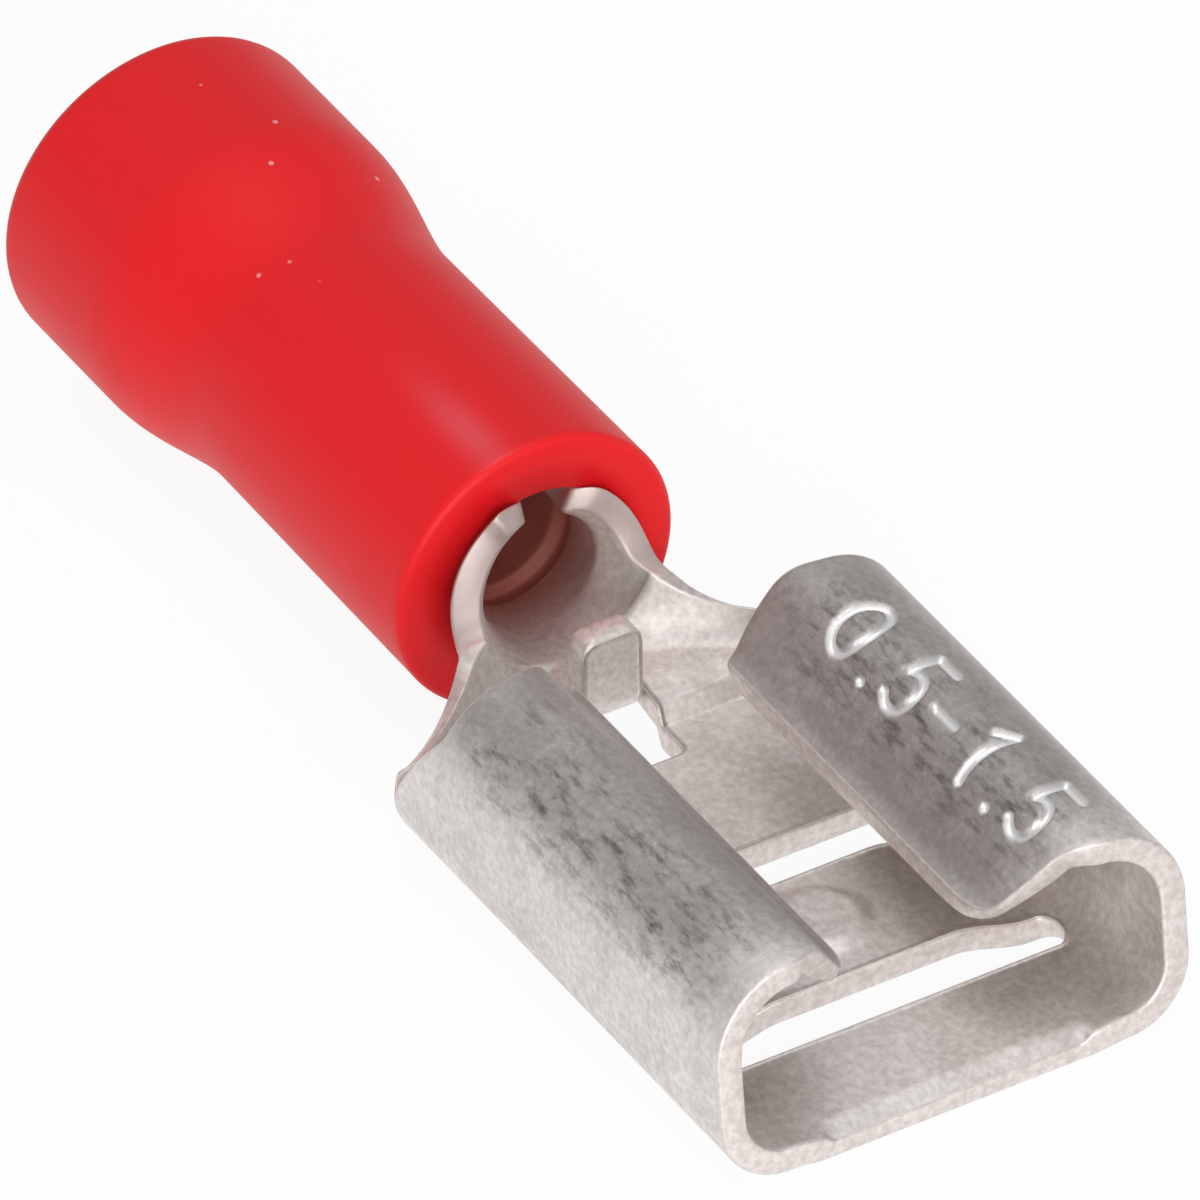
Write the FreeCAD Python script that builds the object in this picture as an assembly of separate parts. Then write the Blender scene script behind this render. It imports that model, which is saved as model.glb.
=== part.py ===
"""Insulated female spade terminal for a 6.3 x 0.8 mm tab.

Two pieces: a pressed sheet-metal body and the moulded sleeve on its wire barrel.
Millimetres. +X points out of the mouth, the way a tab is pulled off, +Z is up and
the part is nearly symmetric about the XZ plane. The origin is the middle of the
mouth, on the mid-plane of the tab that it receives. Lengths named start, station
or end are distances behind the mouth, measured towards -X.
"""
import FreeCAD, Part
import math
import os

from FreeCAD import Vector

# The sheet and the tab that the terminal grips
sheet = 0.4
tab_thickness = 0.8

# Receptacle: a channel whose walls are rolled inwards over the tab
outer_width = 7.4
outer_height = 3.26
corner_radius = 1.03
curl_radius = 1.3
crown_radius = 0.75
curl_slope = 55.0
lip_radius = 0.35
lip_slope = 8.0
curl_length = 7.6
rear_knee_height = 2.5
mouth_rake = 6.0
lip_setback = 1.15
lip_nose = 0.15
left_curl_overrun = 0.6
right_curl_overrun = -0.2

# Floor of the receptacle, with two cross slots and a sprung bridge between them
front_slot_start = 1.83
front_slot_width = 0.6
bridge_width = 2.4
rear_slot_width = 1.05
slot_half_length = 2.95
slot_end_radius = 0.28
bridge_rise = 0.3
bridge_bend_radius = 1.5
bridge_bend = 24.0
dimple_radius = 0.8
dimple_rise = 0.1
coined_half_width = 2.05
coined_length = 0.3
coined_depth = 0.16

# Neck between the receptacle and the wire barrel
joggle_start = 8.65
joggle_run = 0.2
joggle_rise = 0.4
shoulder_half_width = 3.75
waist_half_width = 2.5
waist_station = 10.2
shoulder_power = 1.3
trough_power = 3
throat_sections = 6
waist_bottom = 12.0
pierced_hole_start = 7.85
pierced_hole_width = 0.95
pierced_hole_corner = 0.3
stop_hinge = 9.85
stop_bend_radius = 0.5
stop_height = 1.5
stop_width = 0.85
stop_tip_radius = 0.3

# Wire barrel, rolled to a tube with a butted seam on top and a flared front
barrel_bore = 1.9
barrel_start = 11.0
barrel_length = 6.3
flare_radius = 1.9
flare_wrap = 170.0
front_edge_height = 1.32
front_belly_station = 10.76
front_belly_height = 2.1
tip_station = 10.62
tip_height = 3.2
tip_half_gap = 0.64
seam_start = 11.3
seam_gap = 0.08
groove_start = 11.75
groove_pitch = 1.4
groove_width = 0.4
groove_depth = 0.1
groove_count = 3

# Insulating sleeve, wider at the end that takes the insulated wire
sleeve_start = 11.0
overall_length = 21.2
sleeve_clearance = 0.02
front_wall = 0.83
waist_wall = 0.79
cone_start = 16.4
cone_length = 2.4
entry_diameter = 3.8
entry_wall = 0.63
rim_round = 0.25
front_round = 0.12
shoulder_step = 0.2
funnel_length = 0.9

# Levels and places that follow from the sizes above
lip_top = tab_thickness / 2 + sheet
floor_top = -(tab_thickness / 2 + dimple_rise + bridge_rise)
floor_under = floor_top - sheet
crown_top = floor_under + outer_height
half_width = outer_width / 2
floor_half = half_width - corner_radius
curl_half = half_width - curl_radius
bridge_start = front_slot_start + front_slot_width
bridge_end = bridge_start + bridge_width
neck_under = floor_under + joggle_rise
neck_top = neck_under + sheet
neck_start = joggle_start + joggle_run
barrel_radius = barrel_bore / 2
barrel_outer = barrel_radius + sheet
barrel_axis = neck_under + barrel_outer
barrel_end = barrel_start + barrel_length
sleeve_bore = barrel_outer + sleeve_clearance
rake = math.tan(math.radians(mouth_rake))
clear = overall_length


def at(station, y, z):
    """Point at a distance behind the mouth."""
    return Vector(-station, y, z)


def polygon_face(points):
    """Face inside straight edges."""
    return Part.Face(Part.makePolygon(points + points[:1]))


def plan_cutter(outline, low, high):
    """Upright cutter over an outline of (station, y)."""
    face = polygon_face([at(station, y, low) for station, y in outline])
    return face.extrude(Vector(0, 0, high - low))


def side_cutter(outline, half_span):
    """Cutter right across the part over an outline of (station, z)."""
    face = polygon_face([at(station, -half_span, z) for station, z in outline])
    return face.extrude(Vector(0, 2 * half_span, 0))


def cross_slot(start, width, half_length, end_radius, low, high):
    """Upright cutter for a slot across the floor, with rounded ends."""
    block = Part.makeBox(width, 2 * half_length, high - low, at(start + width, -half_length, low))
    uprights = [edge for edge in block.Edges if edge.BoundBox.ZLength > (high - low) / 2]
    return block.makeFillet(min(end_radius, 0.48 * width, 0.96 * half_length), uprights)


def turned(direction, degrees):
    """Direction in the YZ plane, turned about +X."""
    angle = math.radians(degrees)
    cosine, sine = math.cos(angle), math.sin(angle)
    return Vector(0, direction.y * cosine - direction.z * sine, direction.y * sine + direction.z * cosine)


def arc_edge(centre, radius, spoke, degrees):
    """Arc in the YZ plane that starts on a spoke and turns about its centre."""
    middle = centre + turned(spoke, degrees / 2) * radius
    return Part.Arc(centre + spoke * radius, middle, centre + turned(spoke, degrees) * radius).toShape()


def line_edge(start, end):
    """Straight edge."""
    return Part.LineSegment(start, end).toShape()


def bent_strip(start, heading, steps, thickness):
    """Section of a sheet in the YZ plane that is bent step by step.

    The walk follows one surface and the sheet lies to its left. A step is a length,
    or a pair (radius, degrees) for a bend: positive turns to the left.
    """
    walked, opposite = [], []
    here = start
    forward = turned(Vector(0, 1, 0), heading)
    for step in steps:
        left = turned(forward, 90)
        if isinstance(step, tuple):
            radius, degrees = step
            bend_side = math.copysign(1, degrees)
            centre = here + left * (bend_side * radius)
            spoke = left * -bend_side
            walked.append(arc_edge(centre, radius, spoke, degrees))
            opposite.append(arc_edge(centre, radius - bend_side * thickness, spoke, degrees))
            here = centre + turned(spoke, degrees) * radius
            forward = turned(forward, degrees)
        else:
            there = here + forward * step
            walked.append(line_edge(here, there))
            opposite.append(line_edge(here + left * thickness, there + left * thickness))
            here = there
    first_left = turned(Vector(0, 1, 0), heading + 90)
    last_left = turned(forward, 90)
    ends = [line_edge(here, here + last_left * thickness), line_edge(start + first_left * thickness, start)]
    return Part.Face(Part.Wire(walked + ends[:1] + opposite[::-1] + ends[1:]))


def curl_drop():
    """Height lost in the bends at the crown and at the lip of a curl."""
    slope, lip = math.radians(curl_slope), math.radians(lip_slope)
    return crown_radius * (1 - math.cos(slope)) + lip_radius * (math.cos(lip) - math.cos(slope))


def lip_half_gap():
    """Half of the gap between the two lips."""
    slope, lip = math.radians(curl_slope), math.radians(lip_slope)
    straight = (crown_top - lip_top - curl_drop()) / math.tan(slope)
    bends = crown_radius * math.sin(slope) + lip_radius * (math.sin(slope) - math.sin(lip))
    return curl_half - bends - straight


def make_channel():
    """Floor, walls and rolled curls of the receptacle as one bent strip."""
    straight = (crown_top - lip_top - curl_drop()) / math.sin(math.radians(curl_slope))
    wall = outer_height - curl_radius - corner_radius
    half = [(lip_radius, lip_slope - curl_slope), straight, (crown_radius, curl_slope), (curl_radius, 90.0),
            wall, (corner_radius, 90.0)]
    start = Vector(0, -lip_half_gap(), lip_top)
    section = bent_strip(start, 180 - lip_slope, half + [2 * floor_half] + half[::-1], sheet)
    return section.extrude(Vector(-joggle_start, 0, 0))


def lip_cutter(side):
    """Cutter, as raked as the mouth, that sets the front corner of one lip back along an arc."""
    mouth = rake * -floor_under
    crown = at(mouth, side * curl_half, 0)
    lip = at(mouth + lip_setback, side * lip_half_gap(), 0)
    nose = (crown + lip) * 0.5 + Vector(lip_nose, 0, 0)
    corners = [lip, Vector(lip.x, 0, 0), at(-clear, 0, 0), at(-clear, side * curl_half, 0), crown]
    sides = [line_edge(first, second) for first, second in zip(corners, corners[1:])]
    outline = Part.Wire([Part.Arc(crown, nose, lip).toShape()] + sides)
    return Part.Face(outline).extrude(Vector(-rake * clear, 0, clear))


def curl_end_cutter(side, overrun):
    """Cutter for the rear end of one curl, which runs past its crown by the overrun."""
    crown, lip = side * curl_half, side * lip_half_gap()
    outline = [(curl_length, crown), (curl_length + overrun, lip), (curl_length + overrun, 0), (clear, 0),
               (clear, crown)]
    return plan_cutter(outline, 0, clear)


def wall_end_cutter(side):
    """Cutter for the sloping rear end of one wall, down to the start of the joggle."""
    foot = floor_under + corner_radius
    knee = floor_under + rear_knee_height
    outline = [(joggle_start, foot), (curl_length, knee), (curl_length, clear), (clear, clear), (clear, foot)]
    face = polygon_face([at(station, side * curl_half, z) for station, z in outline])
    return face.extrude(Vector(0, side * clear, 0))


def make_receptacle():
    """Channel with its raked mouth, set-back lips and sloping rear ends."""
    mouth = side_cutter([(0, floor_under), (rake * clear, floor_under + clear), (-clear, clear),
                         (-clear, floor_under)], clear)
    cutters = [mouth]
    for side, overrun in ((-1, left_curl_overrun), (1, right_curl_overrun)):
        cutters += [lip_cutter(side), curl_end_cutter(side, overrun), wall_end_cutter(side)]
    return make_channel().cut(cutters)


def trough_section(station, under, middle, radius, degrees):
    """Outline of the sheet where its edges are bent up at both sides of the middle.

    The middle is a length, or the degrees of a bend when it is given as a tuple.
    """
    bent = isinstance(middle, tuple)
    flat = 0 if bent else middle / 2
    total = degrees + middle[0] / 2 if bent else degrees
    angle = math.radians(total)
    start = at(station, -flat - radius * math.sin(angle), under + radius * (1 - math.cos(angle)))
    base = (radius, middle[0]) if bent else middle
    return bent_strip(start, -total, [(radius, degrees), base, (radius, degrees)], sheet).OuterWire


def neck_section(share):
    """Outline of the neck at a share of the way from the joggle to the waist."""
    flat = floor_half * (1 - share ** trough_power)
    radius = corner_radius + (flare_radius - corner_radius) * share
    spread = (shoulder_half_width - waist_half_width) * (1 - share) ** shoulder_power
    station = neck_start + (waist_station - neck_start) * share
    degrees = math.degrees((waist_half_width + spread - flat) / radius)
    return trough_section(station, neck_under, 2 * flat, radius, degrees)


def make_joggle():
    """Step that lifts the floor to the level of the neck."""
    foot = trough_section(joggle_start, floor_under, 2 * floor_half, corner_radius, 90.0)
    return Part.makeLoft([foot, neck_section(0)], True, True)


def rolled_section(station, radius, degrees):
    """Outline of the sheet where it is rolled round, by so many degrees at each side."""
    return trough_section(station, neck_under, (2 * waist_bottom,), radius, degrees - waist_bottom)


def make_throat():
    """Neck whose flat middle narrows and whose edges rise until it is a trough."""
    degrees = math.degrees(waist_half_width / flare_radius)
    waist = rolled_section(waist_station, flare_radius, degrees)
    sections = [neck_section(index / throat_sections) for index in range(throat_sections)]
    return Part.makeLoft(sections + [waist], True, True)


def barrel_front_cutter():
    """Cutter that shapes the front edges of the barrel along an arc, seen from the side."""
    low = neck_under + front_edge_height
    foot = at(waist_station, -clear, low)
    belly = at(front_belly_station, -clear, neck_under + front_belly_height)
    tip = at(tip_station, -clear, neck_under + tip_height)
    corners = [tip, at(tip_station, -clear, clear), at(neck_start, -clear, clear),
               at(neck_start, -clear, low), foot]
    sides = [line_edge(first, second) for first, second in zip(corners, corners[1:])]
    outline = Part.Wire([Part.Arc(foot, belly, tip).toShape()] + sides)
    return Part.Face(outline).extrude(Vector(0, 2 * clear, 0))


def seam_cutter():
    """Upright cutter for the seam and for the notch in which it opens at the front."""
    left = [(neck_start, tip_half_gap), (tip_station, tip_half_gap),
            (seam_start, seam_gap / 2), (clear, seam_gap / 2)]
    right = [(station, -gap) for station, gap in left]
    return plan_cutter(left + right[::-1], barrel_axis, clear)


def make_flare():
    """Front of the barrel, which opens like a bell mouth over the neck."""
    front = rolled_section(waist_station, flare_radius, flare_wrap)
    rear = rolled_section(barrel_start, barrel_outer, flare_wrap)
    return Part.makeLoft([front, rear], True, True).cut(seam_cutter())


def make_barrel():
    """Rolled wire barrel with its seam and grip grooves."""
    centre = at(barrel_start, 0, barrel_axis)
    tube = Part.makeCylinder(barrel_outer, barrel_length, centre, Vector(-1, 0, 0))
    bore = Part.makeCylinder(barrel_radius, barrel_length, centre, Vector(-1, 0, 0))
    grooves = [make_groove(groove_start + groove_pitch * index) for index in range(groove_count)]
    return tube.cut([bore, seam_cutter()] + grooves)


def make_groove(start):
    """Ring cut by one of the grip grooves inside the barrel."""
    centre = at(start, 0, barrel_axis)
    return Part.makeCylinder(barrel_radius + groove_depth, groove_width, centre, Vector(-1, 0, 0))


def make_bridge():
    """Sprung strip between the slots, bowed up over a flat middle."""
    bend = math.radians(bridge_bend)
    ramp = (bridge_rise - 2 * bridge_bend_radius * (1 - math.cos(bend))) / math.sin(bend)
    ramp_span = 2 * bridge_bend_radius * math.sin(bend) + ramp * math.cos(bend)
    middle = 2 * (slot_half_length - slot_end_radius - ramp_span)
    rise = [(bridge_bend_radius, bridge_bend), ramp, (bridge_bend_radius, -bridge_bend)]
    fall = [(bridge_bend_radius, -bridge_bend), ramp, (bridge_bend_radius, bridge_bend)]
    start = at(bridge_start, -slot_half_length + slot_end_radius, floor_under)
    strip = bent_strip(start, 0, rise + [middle] + fall, sheet)
    return strip.extrude(Vector(-bridge_width, 0, 0))


def dome(base, radius, rise):
    """Spherical cap that stands on a level."""
    ball = (radius ** 2 + rise ** 2) / (2 * rise)
    centre = base - Vector(0, 0, ball - rise)
    cap = Part.makeSphere(ball, centre)
    return cap.common(Part.makeCylinder(radius, rise + 0.01, base - Vector(0, 0, 0.01)))


def make_sprung_bridge():
    """Bridge with the dimple that presses on the tab."""
    middle = (bridge_start + bridge_end) / 2
    crest = floor_top + bridge_rise
    raised = dome(at(middle, 0, crest), dimple_radius, dimple_rise)
    hollow = dome(at(middle, 0, crest - sheet), dimple_radius, dimple_rise)
    return make_bridge().fuse(raised).cut(hollow)


def open_floor(receptacle):
    """Cut the slots and the coined lead-in, and put in the sprung bridge."""
    low, high = floor_under - 1, floor_top + bridge_rise
    front = cross_slot(front_slot_start, front_slot_width, slot_half_length, slot_end_radius, low, high)
    rear = cross_slot(bridge_end, rear_slot_width, slot_half_length, slot_end_radius, low, high)
    span = slot_half_length - slot_end_radius
    window = Part.makeBox(bridge_width, 2 * span, high - low, at(bridge_end, -span, low))
    profile = [at(0, -coined_half_width, floor_top - coined_depth),
               at(-clear, -coined_half_width, floor_top - coined_depth),
               at(-clear, -coined_half_width, high),
               at(coined_length, -coined_half_width, high),
               at(coined_length, -coined_half_width, floor_top)]
    lead_in = polygon_face(profile).extrude(Vector(0, 2 * coined_half_width, 0))
    return receptacle.cut([front, rear, window, lead_in]).fuse(make_sprung_bridge())


def make_pierced_hole():
    """Upright cutter for the hole from which the tab stop is bent up."""
    low, span = floor_under - sheet, joggle_rise + 3 * sheet
    length = stop_hinge - pierced_hole_start
    block = Part.makeBox(length, pierced_hole_width, span, at(stop_hinge, -pierced_hole_width / 2, low))
    front = [edge for edge in block.Edges if edge.BoundBox.ZLength > span / 2
             and edge.BoundBox.XMin > -pierced_hole_start - length / 2]
    return block.makeFillet(min(pierced_hole_corner, pierced_hole_width / 3), front)


def make_tab_stop():
    """Tongue that is bent up at the rear end of the pierced hole, with a rounded tip."""
    side = -stop_width / 2
    centre = at(stop_hinge, side, neck_under + stop_bend_radius)
    inner_radius = stop_bend_radius - sheet
    ahead, down = Vector(1, 0, 0), Vector(0, 0, -1)
    slant = (ahead + down).normalize()
    front_foot, rear_foot = centre + ahead * stop_bend_radius, centre + ahead * inner_radius
    front_tip = at(stop_hinge - stop_bend_radius, side, neck_under + stop_height)
    rear_tip = front_tip - ahead * sheet
    under, over = centre + down * stop_bend_radius, centre + down * inner_radius
    outline = [Part.Arc(under, centre + slant * stop_bend_radius, front_foot).toShape(),
               line_edge(front_foot, front_tip), line_edge(front_tip, rear_tip), line_edge(rear_tip, rear_foot),
               Part.Arc(rear_foot, centre + slant * inner_radius, over).toShape(), line_edge(over, under)]
    tongue = Part.Face(Part.Wire(outline)).extrude(Vector(0, stop_width, 0))
    tips = [edge for edge in tongue.Edges
            if edge.BoundBox.XLength > sheet / 2 and edge.BoundBox.ZMin > rear_tip.z - sheet / 2]
    return tongue.makeFillet(min(stop_tip_radius, stop_width / 3), tips)


def make_terminal_body():
    """The whole metal pressing, joined end to end from its stretches."""
    hole = make_pierced_hole()
    receptacle = open_floor(make_receptacle()).cut(hole)
    joggle = make_joggle().cut(hole)
    front = barrel_front_cutter()
    throat = make_throat().cut([hole, front]).fuse(make_tab_stop())
    flare = make_flare().cut(front)
    return receptacle.fuse([joggle, throat, flare, make_barrel()]).removeSplitter()


def round_corner(corner, before, after, radius):
    """Quarter arc in a profile, between two sides that meet square at a corner."""
    start = corner + before * radius
    end = corner + after * radius
    centre = start + after * radius
    middle = centre + (corner - centre).normalize() * radius
    return Part.Arc(start, middle, end).toShape()


def cone_edges(start, end):
    """Two arcs that lead from one radius of the sleeve to the other, level at both ends."""
    run, rise = start.x - end.x, end.z - start.z
    radius = (run ** 2 + rise ** 2) / (4 * rise)
    middle = (start + end) * 0.5
    half_turn = math.asin(run / 2 / radius) / 2
    chord_drop = radius * (1 - math.cos(half_turn))
    lead = Vector(-radius * math.sin(half_turn), 0, chord_drop)
    return [Part.Arc(start, start + lead, middle).toShape(), Part.Arc(middle, end - lead, end).toShape()]


def make_insulating_sleeve():
    """Sleeve turned from its profile: bore, funnel and entry inside, cone and rim outside."""
    backward, outward = Vector(-1, 0, 0), Vector(0, 0, 1)

    def on_profile(station, radius):
        return at(station, 0, barrel_axis + radius)

    entry_bore = entry_diameter / 2
    rear_radius = entry_bore + entry_wall
    rim = min(rim_round, 0.8 * entry_wall)
    front_corner = on_profile(sleeve_start, sleeve_bore + front_wall)
    waist = on_profile(cone_start, sleeve_bore + waist_wall)
    cone_end = on_profile(cone_start + cone_length, rear_radius)
    rear_corner = on_profile(overall_length, rear_radius)
    inside = [on_profile(overall_length, entry_bore), on_profile(barrel_end + funnel_length, entry_bore),
              on_profile(barrel_end, sleeve_bore - shoulder_step), on_profile(barrel_end, sleeve_bore),
              on_profile(sleeve_start, sleeve_bore)]
    front_edge = round_corner(front_corner, outward * -1, backward, front_round)
    rear_edge = round_corner(rear_corner, backward * -1, outward * -1, rim)
    edges = [front_edge, line_edge(front_corner + backward * front_round, waist)]
    edges += cone_edges(waist, cone_end)
    edges += [line_edge(cone_end, rear_corner - backward * rim), rear_edge]
    corners = [rear_corner - outward * rim] + inside + [front_corner - outward * front_round]
    edges += [line_edge(first, second) for first, second in zip(corners, corners[1:])]
    profile = Part.Face(Part.Wire(edges))
    return profile.revolve(at(0, 0, barrel_axis), Vector(1, 0, 0), 360)


def main():
    """Write each piece to a file of its own."""
    os.makedirs("parts", exist_ok=True)
    pieces = {"terminal_body": make_terminal_body(), "insulating_sleeve": make_insulating_sleeve()}
    for name, shape in pieces.items():
        shape.exportStep(f"parts/{name}.step")
        print(name, shape.isValid(), len(shape.Solids), round(shape.Volume, 3), shape.BoundBox)


main()
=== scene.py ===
"""Looks of an insulated female spade terminal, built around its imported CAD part.

The metal body is drawn as the flat blank that it was stamped from. A point of the
blank is a pair (station, reach): its distance behind the mouth and its distance
from the middle line, measured along the outside of the sheet. Folding the blank
gives the point's place in millimetres, with +X out of the mouth and +Z up. Reach
is positive on the +Y side, and a depth is measured from the outside inwards.
"""
import logging
import math
from dataclasses import dataclass, field
from enum import Enum

import bpy
import numpy as np
from mathutils import Matrix, Vector
from mathutils.geometry import delaunay_2d_cdt


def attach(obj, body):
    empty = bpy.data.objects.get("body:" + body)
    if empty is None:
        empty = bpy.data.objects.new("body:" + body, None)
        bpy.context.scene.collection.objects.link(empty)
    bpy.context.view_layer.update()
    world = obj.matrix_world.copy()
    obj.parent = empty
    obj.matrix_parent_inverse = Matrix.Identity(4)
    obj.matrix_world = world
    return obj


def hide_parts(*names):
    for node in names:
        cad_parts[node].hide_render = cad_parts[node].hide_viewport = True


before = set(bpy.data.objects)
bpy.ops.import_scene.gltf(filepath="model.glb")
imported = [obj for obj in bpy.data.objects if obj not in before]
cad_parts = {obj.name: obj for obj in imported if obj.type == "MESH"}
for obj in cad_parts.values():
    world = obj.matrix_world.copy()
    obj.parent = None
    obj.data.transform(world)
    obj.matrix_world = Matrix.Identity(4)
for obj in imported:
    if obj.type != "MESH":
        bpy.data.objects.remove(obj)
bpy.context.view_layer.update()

# The stations and the reaches between which a part of the blank lies.
Zone = tuple[tuple[float, float], tuple[float, float]]
# An edge's points, the directions out of the sheet there, and the number of its first flat point.
Rim = tuple[np.ndarray, np.ndarray, int]

LOG = logging.getLogger("terminal")
MM = 0.001
TAU = 2 * math.pi
# How many points trace the mouth's half, another stretch of an edge, and a round corner.
MOUTH_POINTS = 200
EDGE_POINTS = 40
CORNER_POINTS = 12
# How many rows of points round off each side of a cut edge.
BEVEL_ROWS = 3
# What the body's mesh tells its finish: the names of its attributes, each a share from 0 to 1.
LOOKS = ("cut_edge", "stamp", "rubbed", "dulled", "bared")


def linear(hex_colour: str) -> tuple[float, float, float, float]:
    """Turn an sRGB colour into the linear one that Blender's sockets take.

    The sRGB standard's curve is a straight line for the darkest values and a
    power of 2.4 above them.

    Args:
        hex_colour: The colour as "#rrggbb".

    Returns:
        Red, green, blue and an alpha of 1.
    """
    parts = [int(hex_colour[place:place + 2], 16) / 255 for place in (1, 3, 5)]
    return tuple(c / 12.92 if c <= 0.04045 else ((c + 0.055) / 1.055) ** 2.4 for c in parts) + (1.0,)


def smooth_step(value: np.ndarray, low: float, high: float) -> np.ndarray:
    """Rise from 0 to 1 between two limits, level at both, by the cubic 3t² - 2t³.

    Args:
        value: Where the step is read.
        low: Where it leaves 0.
        high: Where it reaches 1.

    Returns:
        The step's height at each value.
    """
    share = np.clip((value - low) / (high - low), 0.0, 1.0)
    return share * share * (3 - 2 * share)


def add_node(tree: bpy.types.NodeTree, kind: str, settings: dict | None = None,
             **links: object) -> bpy.types.Node:
    """Add one node with its settings, values and links.

    Args:
        tree: The node tree that takes the node.
        kind: The node's Blender type.
        settings: Properties of the node itself.
        links: What each input socket takes, by its name with spaces as
            underscores, or by its number as "input_3". An output socket is
            linked, and anything else becomes the socket's value.

    Returns:
        The new node.
    """
    node = tree.nodes.new(kind)
    for name, value in (settings or {}).items():
        setattr(node, name, value)
    for name, value in links.items():
        number = name.removeprefix("input_")
        socket = node.inputs[name.replace("_", " ") if number == name else int(number)]
        if isinstance(value, bpy.types.NodeSocket):
            tree.links.new(value, socket)
        else:
            socket.default_value = value
    return node


def mesh_object(name: str, points: np.ndarray, faces: np.ndarray,
                material: bpy.types.Material) -> bpy.types.Object:
    """Make a smooth-shaded object from points in millimetres.

    Args:
        name: The object's name.
        points: An array of (count, 3) places in the row frame.
        faces: An array of (count, 3) or (count, 4) corners.
        material: The finish that it gets.

    Returns:
        The object, at the origin, with its place in its mesh.
    """
    mesh = bpy.data.meshes.new(name)
    mesh.from_pydata(points * MM, [], faces.tolist())
    mesh.update()
    mesh.shade_smooth()
    mesh.materials.append(material)
    piece = bpy.data.objects.new(name, mesh)
    bpy.context.scene.collection.objects.link(piece)
    return piece


def add_attribute(piece: bpy.types.Object, name: str, values: np.ndarray) -> None:
    """Store one number for each vertex of a piece.

    Args:
        piece: The piece that gets the attribute.
        name: The attribute's name.
        values: One number for each vertex.
    """
    attribute = piece.data.attributes.new(name, "FLOAT", "POINT")
    attribute.data.foreach_set("value", np.ascontiguousarray(values, np.float32))


def walk_strip(reach: np.ndarray,
               steps: list[tuple[float, float]]) -> tuple[np.ndarray, np.ndarray, np.ndarray]:
    """Follow a strip that is bent step by step, starting level at the origin.

    A step is (length, turn): over its length the heading grows evenly by the
    turn. Where the turn is 0 the point moves on by reach times (cos, sin) of the
    heading. Otherwise it moves on an arc of radius r = length / turn, by
    r (sin b - sin a) across and r (cos a - cos b) up, from heading a to b.

    Args:
        reach: Distances along the strip, none of them negative.
        steps: The strip's steps in order.

    Returns:
        Distance across, height and heading at each reach.
    """
    across, height = np.zeros_like(reach), np.zeros_like(reach)
    heading = np.zeros_like(reach)
    start, here, level, angle = 0.0, 0.0, 0.0, 0.0
    for index, (length, turn) in enumerate(steps):
        last = index == len(steps) - 1
        inside = (reach >= start) & ((reach < start + length) | last)
        part = np.append(reach[inside] - start, length)
        ahead = angle + turn * part / length
        if turn:
            radius = length / turn
            side = here + radius * (np.sin(ahead) - math.sin(angle))
            up = level + radius * (math.cos(angle) - np.cos(ahead))
        else:
            side = here + part * math.cos(angle)
            up = level + part * math.sin(angle)
        across[inside], height[inside], heading[inside] = side[:-1], up[:-1], ahead[:-1]
        start, here, level, angle = start + length, float(side[-1]), float(up[-1]), float(ahead[-1])
    return across, height, heading


def rounded_slot(start: float, end: float, half: float, radius: float) -> np.ndarray:
    """Trace a slot across the blank with round corners, each a quarter circle.

    Args:
        start: The station of its front edge.
        end: The station of its rear edge.
        half: Half of its length across the blank.
        radius: The radius of its corners.

    Returns:
        Points (station, reach) in order round the slot.
    """
    corners = ((end - radius, half - radius, 0), (start + radius, half - radius, 1),
               (start + radius, radius - half, 2), (end - radius, radius - half, 3))
    turns = np.linspace(0, math.pi / 2, CORNER_POINTS)
    parts = [np.stack([station + radius * np.cos(turns + quarter * math.pi / 2),
                       reach + radius * np.sin(turns + quarter * math.pi / 2)], axis=1)
             for station, reach, quarter in corners]
    return np.vstack(parts)


def rounded_end(tip: float, root: float, half: float, radius: float) -> np.ndarray:
    """Trace the sides and the round front corners of a tongue or of the hole around it.

    Args:
        tip: The station of its front end.
        root: The station where its sides end.
        half: Half of its width.
        radius: The radius of its corners, each a quarter circle.

    Returns:
        Points (station, reach) from the root on one side round to the other.
    """
    turns = np.linspace(0, math.pi / 2, CORNER_POINTS)
    side = np.stack([tip + radius * (1 - np.sin(turns)), half - radius * (1 - np.cos(turns))], axis=1)
    side = np.vstack([[root, half], side])
    return np.vstack([side, side[::-1] * (1, -1)])


def even_loop(points: np.ndarray, pitch: float, blunting: float) -> np.ndarray:
    """Space a closed line evenly and blunt its corners.

    The line is read at even distances, averaged twice over a window of twice
    the blunting, and read again at the pitch.

    Args:
        points: The closed line's points in order.
        pitch: The distance between the points that are given back.
        blunting: About how far back from a corner its rounding starts.

    Returns:
        Points at an even pitch, anticlockwise in (station, reach).
    """
    repeated, fine = 1e-6, 0.01
    closed = np.vstack([points, points[:1]])
    closed = closed[np.append(True, np.hypot(*np.diff(closed, axis=0).T) > repeated)]
    along = np.append(0, np.cumsum(np.hypot(*np.diff(closed, axis=0).T)))
    marks = np.linspace(0, along[-1], int(along[-1] / fine), endpoint=False)
    line = np.stack([np.interp(marks, along, closed[:, axis]) for axis in (0, 1)], axis=1)
    for _ in range(2):
        window = max(int(blunting / fine), 1)
        shifts = np.arange(-window, window + 1)
        line = np.mean([np.roll(line, shift, axis=0) for shift in shifts], axis=0)
    line = line[::max(int(pitch / fine), 1)]
    area = np.sum(line[:, 0] * np.roll(line[:, 1], -1) - line[:, 1] * np.roll(line[:, 0], -1))
    return line if area > 0 else line[::-1]


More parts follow.
